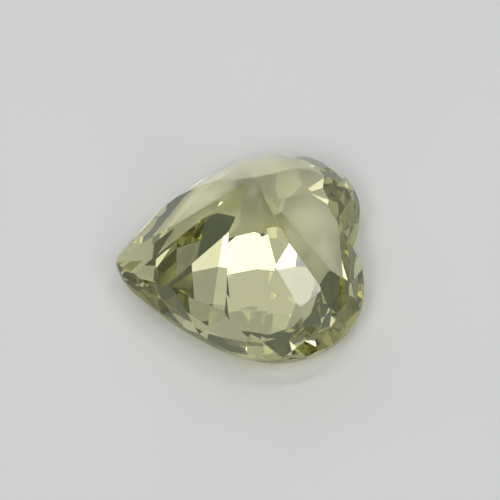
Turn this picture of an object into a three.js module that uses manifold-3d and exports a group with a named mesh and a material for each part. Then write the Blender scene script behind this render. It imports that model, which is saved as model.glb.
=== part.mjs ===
// Heart cut sapphire, lying on its table with the pavilion up.
// Millimetres. +Z is up through the culet, the heart's tip points to -X and its cleft to +X,
// the far lobe is at +Y. The table rests on z = 0 and the origin is the middle of the footprint.
import * as THREE from "three";
import { mergeVertices } from "three/addons/utils/BufferGeometryUtils.js";
import Module from "manifold-3d";

const wasm = await Module();
wasm.setup();

// Heights of the stone, from the table up.
const crownHeight = 0.6;
const girdleThickness = 0.1;
const pavilionDepth = 2.58;

// The profile along the heart's axis. While the stone is cut, the tip is the zero of x.
const cleftX = 4.73;
const culetX = 2.75;
const tableTipX = 1.3;
const tableCleftX = 3.8;
// The keel falls from the culet at this slope to where the tip facet starts.
const keelSlope = 42.7;
const tipFacetStartX = 1.5;
// Above the cleft a groove is ground into the pavilion, below it a smaller one into the crown.
const grooveTopX = 4.56;
const grooveTopHeight = 0.56;
const grooveFootX = 4.66;
const grooveFootDepth = 0.12;

// Each half of the outline is a chain of arcs from the tip to the cleft. An arc is given by the
// bearing, in degrees from +X, that the girdle faces where it ends, and by its radius.
// The flank and the lobe have no radius here: theirs are the two that close the outline.
//
// The pavilion is cut in level rows. The top of a row is a part of the pavilion's depth, and its
// facets are so many degrees steeper than a straight slope from the girdle to the culet would be.
// On the far half facets from the uppermost row end in the culet.
// The near half has one low row only. Side facets stand on it, and the tall main facets between
// them reach the culet, or would cross the axis a little over it and are cut off below.
const farHalf = {
  startBearing: 152,
  tip: { radius: 2, endBearing: 144 },
  flank: { endBearing: 114 },
  shoulder: { radius: 2.1, endBearing: 72 },
  lobe: { endBearing: -4 },
  cleft: { radius: 2.5, endBearing: -25 },
  keelBearing: 150,
  rows: [
    { top: 0.15, steeper: 12, bearings: [162, 140, 128, 116, 106, 96, 86, 76, 66, 56, 46, 34, 22, 10] },
    { top: 0.405, steeper: 4, bearings: [148, 122, 100, 78, 54, 28] },
    { top: 0.62, steeper: 0, bearings: [148, 122, 100, 78, 54, 28] },
  ],
  culetBearings: [122, 100, 78, 54, 28],
  sideFacets: [],
  mainFacets: [],
};
const nearHalf = {
  startBearing: 172,
  tip: { radius: 1.5, endBearing: 142 },
  flank: { endBearing: 126 },
  shoulder: { radius: 3.2, endBearing: 109 },
  lobe: { endBearing: 1 },
  cleft: { radius: 2.5, endBearing: -21 },
  keelBearing: 170,
  rows: [{ top: 0.15, steeper: 16, bearings: [166, 150, 135, 120, 102, 78, 55, 32, 12] }],
  culetBearings: [],
  sideFacets: [
    { bearing: 150, steeper: 4 },
    { bearing: 130, steeper: 9 },
    { bearing: 28, steeper: 5 },
  ],
  mainFacets: [
    { bearing: 154, slope: 44, overCulet: 0 },
    { bearing: 132, slope: 48.5, overCulet: 0.24 },
    { bearing: 106, slope: 44.6, overCulet: 0.1 },
    { bearing: 104, slope: 43, overCulet: 0 },
    { bearing: 96, slope: 44.9, overCulet: 0.16 },
    { bearing: 87, slope: 46.6, overCulet: 0.31 },
    { bearing: 79, slope: 39.3, overCulet: 0 },
    { bearing: 73.5, slope: 43, overCulet: 0.16 },
    { bearing: 71.5, slope: 46.5, overCulet: 0.42 },
    { bearing: 26.3, slope: 41.4, overCulet: 0 },
  ],
};

// Crown: the table is the outline drawn in towards a centre on the axis. Main facets slope from
// the girdle almost to the table, steeper break facets lie along the girdle and flat star facets
// along the table.
const tableCentreX = 2.58;
const tableRatio = 0.5;
const mainReach = 1.06;
const crownBreakSteeper = 7;
const crownStarSlope = 17;
const crownMainBearings = [150, 118, 88, 55, 20];
const crownBreakBearings = [160, 138, 128, 108, 98, 76, 64, 44, 32, 8];
const crownStarBearings = [134, 103, 71, 37];

const girdleFacetCount = 30;

const { degToRad, radToDeg } = THREE.MathUtils;
const facing = (bearing) => new THREE.Vector2(Math.cos(degToRad(bearing)), Math.sin(degToRad(bearing)));
const tan = (slope) => Math.tan(degToRad(slope));
const atHeight = (point, z) => new THREE.Vector3(point.x, point.y, z);
const onAxis = (x, z) => new THREE.Vector3(x, 0, z);

const girdleFoot = crownHeight;
const girdleTop = crownHeight + girdleThickness;
const culetHeight = girdleTop + pavilionDepth;
const tip = new THREE.Vector2(0, 0);
const cleft = new THREE.Vector2(cleftX, 0);
const culet = onAxis(culetX, culetHeight);
const tipFacetStart = onAxis(tipFacetStartX, culetHeight - (culetX - tipFacetStartX) * tan(keelSlope));
const tipTop = atHeight(tip, girdleTop);
const tipFoot = atHeight(tip, girdleFoot);
const tableTip = onAxis(tableTipX, 0);
const tableCleft = onAxis(tableCleftX, 0);
const grooveFoot = onAxis(grooveFootX, girdleFoot - grooveFootDepth);
const cleftFoot = atHeight(cleft, girdleFoot);
const cleftTop = atHeight(cleft, girdleTop);
const grooveTop = onAxis(grooveTopX, girdleTop + grooveTopHeight);
const axisProfile = [
  culet,
  tipFacetStart,
  tipTop,
  tipFoot,
  tableTip,
  tableCleft,
  grooveFoot,
  cleftFoot,
  cleftTop,
  grooveTop,
];

// Works out the two open radii so that the chain of arcs ends in the cleft, and lays it out.
function layOut(half) {
  const arcs = [half.tip, half.flank, half.shoulder, half.lobe, half.cleft];
  let from = half.startBearing;
  const turns = arcs.map(({ endBearing }) => {
    const turn = facing(endBearing).sub(facing(from));
    from = endBearing;
    return turn;
  });
  const gap = cleft.clone();
  arcs.forEach((arc, i) => gap.addScaledVector(turns[i], -(arc.radius ?? 0)));
  const [flankTurn, lobeTurn] = [turns[1], turns[3]];
  const across = flankTurn.cross(lobeTurn);
  const solved = new Map([
    [half.flank, gap.cross(lobeTurn) / across],
    [half.lobe, flankTurn.cross(gap) / across],
  ]);
  const end = tip.clone();
  from = half.startBearing;
  return arcs.map((arc) => {
    const radius = arc.radius ?? solved.get(arc);
    const centre = end.clone().addScaledVector(facing(from), -radius);
    const span = { centre, radius, from, to: arc.endBearing };
    end.copy(centre).addScaledVector(facing(arc.endBearing), radius);
    from = arc.endBearing;
    return span;
  });
}

// The point of the outline that a straight edge facing this bearing would touch.
function touchPoint(spans, bearing) {
  if (bearing > spans[0].from) return tip.clone();
  const span = spans.find((s) => bearing >= s.to);
  if (!span) return cleft.clone();
  return span.centre.clone().addScaledVector(facing(bearing), span.radius);
}

// The slope of a plane that faces a bearing and holds two points, one above the other's inside.
function slopeBetween(outer, inner, bearing) {
  const towards = facing(bearing);
  const run = (outer.x - inner.x) * towards.x + (outer.y - inner.y) * towards.y;
  return radToDeg(Math.atan2(Math.abs(inner.z - outer.z), run));
}

// A facet plane keeps the side of the rough behind its outward normal, and always leaves the
// profile along the axis whole, which both halves of the heart share.
function facetAt(point, bearing, slope, up) {
  const towards = facing(bearing).multiplyScalar(Math.sin(degToRad(slope)));
  const normal = new THREE.Vector3(towards.x, towards.y, up * Math.cos(degToRad(slope)));
  const reach = Math.max(normal.dot(point), ...axisProfile.map((corner) => normal.dot(corner)));
  return { normal, reach };
}

// A facet that holds two corners of the axis profile.
const facetThrough = (outer, inner, bearing, up) =>
  facetAt(outer, bearing, slopeBetween(outer, inner, bearing), up);

function pavilionFacets(half, spans) {
  const rim = (bearing) => atHeight(touchPoint(spans, bearing), girdleTop);
  const straightSlope = (bearing) => slopeBetween(rim(bearing), culet, bearing);
  // The foot of a facet that stands on so many rows.
  const footOn = (rowCount, bearing) => {
    const foot = rim(bearing);
    const towards = facing(bearing);
    half.rows.slice(0, rowCount).forEach(({ top, steeper }) => {
      const rise = girdleTop + pavilionDepth * top - foot.z;
      const inward = rise / tan(straightSlope(bearing) + steeper);
      foot.add(new THREE.Vector3(-towards.x * inward, -towards.y * inward, rise));
    });
    return foot;
  };
  const steeperFacet = (rowCount, bearing, steeper) =>
    facetAt(footOn(rowCount, bearing), bearing, straightSlope(bearing) + steeper, 1);
  return [
    facetThrough(tipFacetStart, culet, half.keelBearing, 1),
    facetThrough(tipTop, tipFacetStart, 180, 1),
    facetThrough(grooveTop, culet, 0, 1),
    facetThrough(cleftTop, grooveTop, half.cleft.endBearing, 1),
    ...half.rows.flatMap(({ steeper, bearings }, row) =>
      bearings.map((bearing) => steeperFacet(row, bearing, steeper)),
    ),
    ...half.culetBearings.map((bearing) =>
      facetThrough(footOn(half.rows.length, bearing), culet, bearing, 1),
    ),
    ...half.sideFacets.map(({ bearing, steeper }) => steeperFacet(half.rows.length, bearing, steeper)),
    ...half.mainFacets.map(({ bearing, slope, overCulet }) =>
      facetAt(onAxis(culetX, culetHeight + overCulet), bearing, slope, 1),
    ),
  ];
}

function girdleFacets(spans) {
  const first = spans[0].from;
  const last = spans.at(-1).to;
  return Array.from({ length: girdleFacetCount + 1 }, (_, i) => {
    const bearing = first + ((last - first) * i) / girdleFacetCount;
    return facetAt(atHeight(touchPoint(spans, bearing), 0), bearing, 90, 1);
  });
}

function crownFacets(half, spans) {
  const rim = (bearing) => atHeight(touchPoint(spans, bearing), girdleFoot);
  const tableCentre = new THREE.Vector2(tableCentreX, 0);
  const drawnIn = (bearing, ratio) =>
    atHeight(touchPoint(spans, bearing).sub(tableCentre).multiplyScalar(ratio).add(tableCentre), 0);
  const mainSlope = (bearing) =>
    slopeBetween(rim(bearing), drawnIn(bearing, tableRatio * mainReach), bearing);
  const breakSlope = (bearing) => mainSlope(bearing) + crownBreakSteeper;
  return [
    { normal: new THREE.Vector3(0, 0, -1), reach: 0 },
    facetThrough(tipFoot, tableTip, 180, -1),
    facetThrough(grooveFoot, tableCleft, 0, -1),
    facetThrough(cleftFoot, grooveFoot, half.cleft.endBearing, -1),
    ...crownMainBearings.map((bearing) => facetAt(rim(bearing), bearing, mainSlope(bearing), -1)),
    ...crownBreakBearings.map((bearing) => facetAt(rim(bearing), bearing, breakSlope(bearing), -1)),
    ...crownStarBearings.map((bearing) =>
      facetAt(drawnIn(bearing, tableRatio), bearing, crownStarSlope, -1),
    ),
  ];
}

function solidOf(geometry) {
  return new wasm.Manifold(
    new wasm.Mesh({
      numProp: 3,
      vertProperties: geometry.attributes.position.array,
      triVerts: new Uint32Array(geometry.index.array),
    }),
  );
}

// A block of rough on the +Y side of the axis.
function roughBlock() {
  const low = new THREE.Vector3(-1, 0, -1);
  const high = new THREE.Vector3(7, 4, culetHeight + 1);
  const corners = [];
  for (const x of [low.x, high.x]) {
    for (const y of [low.y, high.y]) {
      for (const z of [low.z, high.z]) corners.push(x, y, z);
    }
  }
  const sides = [
    [0, 1, 3, 2],
    [4, 6, 7, 5],
    [0, 4, 5, 1],
    [2, 3, 7, 6],
    [0, 2, 6, 4],
    [1, 5, 7, 3],
  ];
  const geometry = new THREE.BufferGeometry();
  geometry.setAttribute("position", new THREE.Float32BufferAttribute(corners, 3));
  geometry.setIndex(sides.flatMap(([a, b, c, d]) => [a, b, c, a, c, d]));
  return solidOf(geometry);
}

function cutHalf(half) {
  const spans = layOut(half);
  const facets = [...girdleFacets(spans), ...pavilionFacets(half, spans), ...crownFacets(half, spans)];
  return facets.reduce(
    (stone, { normal, reach }) => stone.trimByPlane(normal.clone().negate().toArray(), -reach),
    roughBlock(),
  );
}

// The corners of a half's triangles, without those of its flat face in the plane of the axis.
function outerCorners(solid) {
  const touching = 1e-5;
  const mesh = solid.getMesh();
  const corner = (index) => {
    const first = index * mesh.numProp;
    return Array.from(mesh.vertProperties.slice(first, first + 3));
  };
  const corners = [];
  for (let i = 0; i < mesh.triVerts.length; i += 3) {
    const triangle = [0, 1, 2].map((k) => corner(mesh.triVerts[i + k]));
    if (triangle.some(([, y]) => Math.abs(y) > touching)) corners.push(...triangle.flat());
  }
  return corners;
}

// The halves share the profile along the axis, so without their inner faces they close one body.
function joined(farStone, nearStone) {
  const seamTolerance = 1e-4;
  const geometry = new THREE.BufferGeometry();
  const corners = [...outerCorners(farStone), ...outerCorners(nearStone)];
  geometry.setAttribute("position", new THREE.Float32BufferAttribute(corners, 3));
  return mergeVertices(geometry, seamTolerance);
}

const geometry = joined(cutHalf(farHalf), cutHalf(nearHalf).mirror([0, 1, 0]));
geometry.computeBoundingBox();
const middle = geometry.boundingBox.getCenter(new THREE.Vector3());
geometry.translate(-middle.x, -middle.y, 0);

const sapphire = new THREE.Mesh(
  geometry,
  new THREE.MeshStandardMaterial({ color: 0xb4b47e, roughness: 0.05, metalness: 0, flatShading: true }),
);
sapphire.name = "heart_cut_sapphire";

const part = new THREE.Group();
part.add(sapphire);

export default part;
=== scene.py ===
"""Heart cut sapphire, lying on its table with the pavilion up. Metres, +Z up."""

import math

import bmesh
import bpy
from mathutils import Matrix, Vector


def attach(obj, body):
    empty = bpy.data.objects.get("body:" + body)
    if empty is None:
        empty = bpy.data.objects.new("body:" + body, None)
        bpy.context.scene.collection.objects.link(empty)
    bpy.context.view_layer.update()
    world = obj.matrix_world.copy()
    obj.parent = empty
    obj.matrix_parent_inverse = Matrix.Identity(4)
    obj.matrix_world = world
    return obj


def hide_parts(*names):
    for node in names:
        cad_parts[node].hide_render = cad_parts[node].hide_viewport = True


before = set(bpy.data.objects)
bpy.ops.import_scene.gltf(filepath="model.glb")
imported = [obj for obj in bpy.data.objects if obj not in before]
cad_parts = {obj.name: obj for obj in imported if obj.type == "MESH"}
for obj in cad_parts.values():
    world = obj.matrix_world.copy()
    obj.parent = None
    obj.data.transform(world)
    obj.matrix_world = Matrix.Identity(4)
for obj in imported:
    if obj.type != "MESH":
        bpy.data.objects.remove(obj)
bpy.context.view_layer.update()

MM = 0.001
STONE = "heart_cut_sapphire"

# The photograph: where it was taken from, and where it shows the heart's tip.
FRAME_PIXELS = 500
MM_PER_PIXEL = 0.02
VIEW_BEARING = -94.15
VIEW_ELEVATION = 55.0
TIP_PIXEL = (116.0, 262.5)
LENS_MM = 800.0
SENSOR_MM = 36.0
NEAREST_SEEN = 1 * MM
FARTHEST_SEEN = 2000 * MM

# The stone's mesh. The tip is taken at the middle of the girdle's height. Girdle facets are the
# upright ones, whose normals rise or fall by less than the limit.
MERGE_DISTANCE = 0.001 * MM
FLAT_WITHIN_DEGREES = 0.1
GIRDLE_HEIGHT = 0.65 * MM
UPRIGHT_LIMIT = 0.02

# The crystal, with its absorption coefficients for red, green and blue. The volume shader absorbs
# its density times what its colour lacks of white, and the margin keeps that colour above black.
REFRACTIVE_INDEX = 1.77
ABSORPTION_PER_MM = (0.07, 0.07, 0.172)
DENSITY_MARGIN = 1.25

# The finish, which is a guess: a faint haze in patches on the polished facets, where the noise is
# between these two levels or above them, and a ground girdle with a fine grain.
POLISH_HAZE = 0.03
HAZE_PATCH = 0.8 * MM
HAZE_DETAIL = 3.0
HAZE_STARTS = 0.45
HAZE_FULL = 0.75
GIRDLE_ROUGHNESS = 0.4
GRAIN_SIZE = 0.02 * MM
GRAIN_DEPTH = GRAIN_SIZE / 4

# The surface that the stone lies on.
FLOOR_GAP = 0.01 * MM
FLOOR_REACH = 400 * MM
FLOOR_COLOUR = (0.855, 0.855, 0.89, 1.0)
FLOOR_ROUGHNESS = 0.9

# The studio's lamps and white cards, all at one distance. Each is given by the bearing and
# elevation of its middle, how far it reaches to the sides and up, in degrees, and its brightness.
# They are fitted to the photograph: they hang where the facets that it shows look, and some of
# the directions come from tracing rays through the stone.
BOX_DISTANCE = 1000 * MM
SOFT_BOXES = {
    "back_strip": (69.5, 61.4, 8.6, 1.4, 2.1),
    "strip_end": (52.4, 57.8, 1.6, 1.2, 1.8),
    "strip_corner": (89.5, 64.3, 1.8, 1.5, 3.4),
    "strip_edge_card": (67.4, 63.95, 5.0, 0.7, 0.45),
    "back_card": (82.0, 44.0, 27.5, 9.8, 0.34),
    "upper_back_card": (77.0, 57.4, 15.0, 3.5, 0.6),
    "right_back_card": (101.0, 49.5, 6.0, 2.6, 0.14),
    "high_card": (80.0, 67.3, 4.0, 1.2, 0.58),
    "strip_right_card": (92.0, 60.5, 1.8, 1.2, 0.45),
    "right_card": (114.6, 56.0, 4.0, 3.0, 0.4),
    "left_card": (22.5, 50.1, 3.0, 3.0, 1.1),
    "low_left_card": (31.5, 45.0, 2.6, 4.2, 0.32),
    "far_left_card": (-3.0, 42.0, 3.0, 3.0, 0.2),
    "top_card": (112.0, 80.4, 2.5, 2.5, 1.5),
    "back_left_key": (150.0, 75.5, 5.0, 6.0, 4.0),
    "back_right_key": (37.0, 71.0, 3.0, 8.0, 8.0),
    "low_back_card": (108.0, 32.2, 38.0, 3.4, 2.4),
    "front_lamp": (-59.0, 37.5, 4.5, 3.8, 4.5),
    "front_key": (-82.0, 60.0, 29.0, 13.0, 2.0),
    "front_left_key": (-117.0, 47.8, 8.0, 6.2, 7.0),
    "front_fill": (-105.0, 27.0, 50.0, 13.0, 0.35),
}
LAMP_COLOUR = (1.0, 0.98, 0.95)
SKY_COLOUR = (0.88, 1.0, 0.92, 1.0)
SKY_BRIGHTNESS = 0.14
LIGHT_BOUNCES = 32


def towards(bearing, elevation):
    """The unit vector that points up at this elevation along a bearing from +X."""
    turn = math.radians(bearing)
    rise = math.radians(elevation)
    level = math.cos(rise)
    return Vector((math.cos(turn) * level, math.sin(turn) * level, math.sin(rise)))


def new_material(name):
    """A node material, with its Principled shader and its output."""
    material = bpy.data.materials.new(name)
    material.use_nodes = True
    nodes = material.node_tree.nodes
    return material, nodes["Principled BSDF"], nodes["Material Output"]


def noise_on_stone(tree, grain):
    """Noise that stays with the stone, in grains of this size."""
    place = tree.nodes.new("ShaderNodeTexCoord")
    noise = tree.nodes.new("ShaderNodeTexNoise")
    noise.inputs["Scale"].default_value = 1 / grain
    tree.links.new(place.outputs["Object"], noise.inputs["Vector"])
    return noise


def worked_out(tree, operation, first, second):
    """The result of one math operation on two sockets."""
    node = tree.nodes.new("ShaderNodeMath")
    node.operation = operation
    tree.links.new(first, node.inputs[0])
    tree.links.new(second, node.inputs[1])
    return node.outputs["Value"]


def polish_facets(tree, shader, ground):
    """A faint haze on the facets, and the girdle's own roughness where it is the greater."""
    noise = noise_on_stone(tree, HAZE_PATCH)
    noise.inputs["Detail"].default_value = HAZE_DETAIL
    haze = tree.nodes.new("ShaderNodeMapRange")
    haze.inputs["From Min"].default_value = HAZE_STARTS
    haze.inputs["From Max"].default_value = HAZE_FULL
    haze.inputs["To Max"].default_value = POLISH_HAZE
    tree.links.new(noise.outputs["Fac"], haze.inputs["Value"])
    roughness = worked_out(tree, "MAXIMUM", haze.outputs["Result"], ground)
    tree.links.new(roughness, shader.inputs["Roughness"])


def grind_girdle(tree, shader, ground):
    """A fine grain on the girdle alone."""
    grains = noise_on_stone(tree, GRAIN_SIZE)
    height = worked_out(tree, "MULTIPLY", grains.outputs["Fac"], ground)
    bump = tree.nodes.new("ShaderNodeBump")
    bump.inputs["Distance"].default_value = GRAIN_DEPTH
    tree.links.new(height, bump.inputs["Height"])
    tree.links.new(bump.outputs["Normal"], shader.inputs["Normal"])


def colour_crystal(tree, output):
    """The olive colour, which deepens with the light's path through the stone."""
    density = max(ABSORPTION_PER_MM) * DENSITY_MARGIN
    colour = [1 - absorbed / density for absorbed in ABSORPTION_PER_MM]
    volume = tree.nodes.new("ShaderNodeVolumeAbsorption")
    volume.inputs["Color"].default_value = (*colour, 1.0)
    volume.inputs["Density"].default_value = density / MM
    tree.links.new(volume.outputs["Volume"], output.inputs["Volume"])


def sapphire_material():
    """Clear olive crystal, polished on its facets and ground on its girdle."""
    material, shader, output = new_material("sapphire")
    shader.inputs["Base Color"].default_value = (1.0, 1.0, 1.0, 1.0)
    shader.inputs["Transmission Weight"].default_value = 1.0
    shader.inputs["IOR"].default_value = REFRACTIVE_INDEX
    tree = material.node_tree
    girdle = tree.nodes.new("ShaderNodeAttribute")
    girdle.attribute_name = "ground"
    polish_facets(tree, shader, girdle.outputs["Fac"])
    grind_girdle(tree, shader, girdle.outputs["Fac"])
    colour_crystal(tree, output)
    return material


def floor_material():
    """Plain, pale and matt."""
    material, shader, _ = new_material("pale_floor")
    shader.inputs["Base Color"].default_value = FLOOR_COLOUR
    shader.inputs["Roughness"].default_value = FLOOR_ROUGHNESS
    return material


def make_facets_whole(mesh):
    """Joins the solid's loose triangles into the flat facets that they are parts of, shaded flat."""
    shape = bmesh.new()
    shape.from_mesh(mesh)
    bmesh.ops.remove_doubles(shape, verts=shape.verts, dist=MERGE_DISTANCE)
    flat = math.radians(FLAT_WITHIN_DEGREES)
    bmesh.ops.dissolve_limit(shape, angle_limit=flat, verts=shape.verts, edges=shape.edges)
    bmesh.ops.recalc_face_normals(shape, faces=shape.faces)
    shape.to_mesh(mesh)
    shape.free()
    for facet in mesh.polygons:
        facet.use_smooth = False


def mark_girdle(mesh):
    """Keeps the roughness of ground stone on the girdle's facets, for the material to read."""
    ground = mesh.attributes.new("ground", "FLOAT", "FACE")
    for facet in mesh.polygons:
        upright = abs(facet.normal.z) < UPRIGHT_LIMIT
        ground.data[facet.index].value = GIRDLE_ROUGHNESS if upright else 0.0


def cut_stone():
    """The stone: a copy of the solid's mesh, with flat facets and its own material."""
    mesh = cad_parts[STONE].data.copy()
    make_facets_whole(mesh)
    mark_girdle(mesh)
    mesh.materials.clear()
    mesh.materials.append(sapphire_material())
    stone = bpy.data.objects.new("sapphire", mesh)
    bpy.context.scene.collection.objects.link(stone)
    return stone


def lay_floor():
    """The plain surface, just under the stone's table."""
    low, high = -FLOOR_REACH, FLOOR_REACH
    corners = [(low, low), (high, low), (high, high), (low, high)]
    mesh = bpy.data.meshes.new("floor")
    mesh.from_pydata([(x, y, -FLOOR_GAP) for x, y in corners], [], [(0, 1, 2, 3)])
    mesh.materials.append(floor_material())
    floor = bpy.data.objects.new("floor", mesh)
    bpy.context.scene.collection.objects.link(floor)


def set_camera(stone):
    """Puts the camera where the heart's tip falls on its pixel of the photograph."""
    tip = min((corner.co for corner in stone.data.vertices), key=lambda place: place.x).copy()
    tip.z = GIRDLE_HEIGHT
    back = towards(VIEW_BEARING, VIEW_ELEVATION)
    right = Vector((-back.y, back.x, 0.0)).normalized()
    up = back.cross(right)
    centre = FRAME_PIXELS / 2
    across = right * (centre - TIP_PIXEL[0]) * MM_PER_PIXEL * MM
    down = up * (centre - TIP_PIXEL[1]) * MM_PER_PIXEL * MM
    frame_width = FRAME_PIXELS * MM_PER_PIXEL * MM
    camera = bpy.data.cameras.new("camera")
    camera.lens = LENS_MM
    camera.sensor_width = SENSOR_MM
    camera.clip_start = NEAREST_SEEN
    camera.clip_end = FARTHEST_SEEN
    view = bpy.data.objects.new("camera", camera)
    view.location = tip + across - down + back * (frame_width * LENS_MM / SENSOR_MM)
    view.rotation_euler = (-back).to_track_quat("-Z", "Y").to_euler()
    bpy.context.scene.collection.objects.link(view)
    bpy.context.scene.camera = view


def hang_soft_box(name, bearing, elevation, reach_sideways, reach_up, brightness):
    """A rectangular lamp that faces the stone, with the power that this brightness takes."""
    light = bpy.data.lights.new(name, "AREA")
    light.shape = "RECTANGLE"
    light.size = 2 * BOX_DISTANCE * math.tan(math.radians(reach_sideways))
    light.size_y = 2 * BOX_DISTANCE * math.tan(math.radians(reach_up))
    light.energy = brightness * math.pi * light.size * light.size_y
    light.color = LAMP_COLOUR
    box = bpy.data.objects.new(name, light)
    direction = towards(bearing, elevation)
    box.location = direction * BOX_DISTANCE
    box.rotation_euler = (-direction).to_track_quat("-Z", "Y").to_euler()
    bpy.context.scene.collection.objects.link(box)


def light_studio():
    """The soft boxes, and a dim sky behind them."""
    for name, box in SOFT_BOXES.items():
        hang_soft_box(name, *box)
    world = bpy.data.worlds.new("studio")
    bpy.context.scene.world = world
    world.use_nodes = True
    sky = world.node_tree.nodes["Background"]
    sky.inputs["Color"].default_value = SKY_COLOUR
    sky.inputs["Strength"].default_value = SKY_BRIGHTNESS


def set_render():
    """Plain colours, and enough bounces for light that turns about inside the stone."""
    scene = bpy.context.scene
    scene.view_settings.view_transform = "Standard"
    cycles = scene.cycles
    cycles.max_bounces = LIGHT_BOUNCES
    cycles.transmission_bounces = LIGHT_BOUNCES
    cycles.glossy_bounces = LIGHT_BOUNCES
    cycles.blur_glossy = 0.0
    cycles.sample_clamp_indirect = 0.0
    cycles.use_denoising = True


stone = cut_stone()
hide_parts(STONE)
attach(stone, "root")
lay_floor()
set_camera(stone)
light_studio()
set_render()
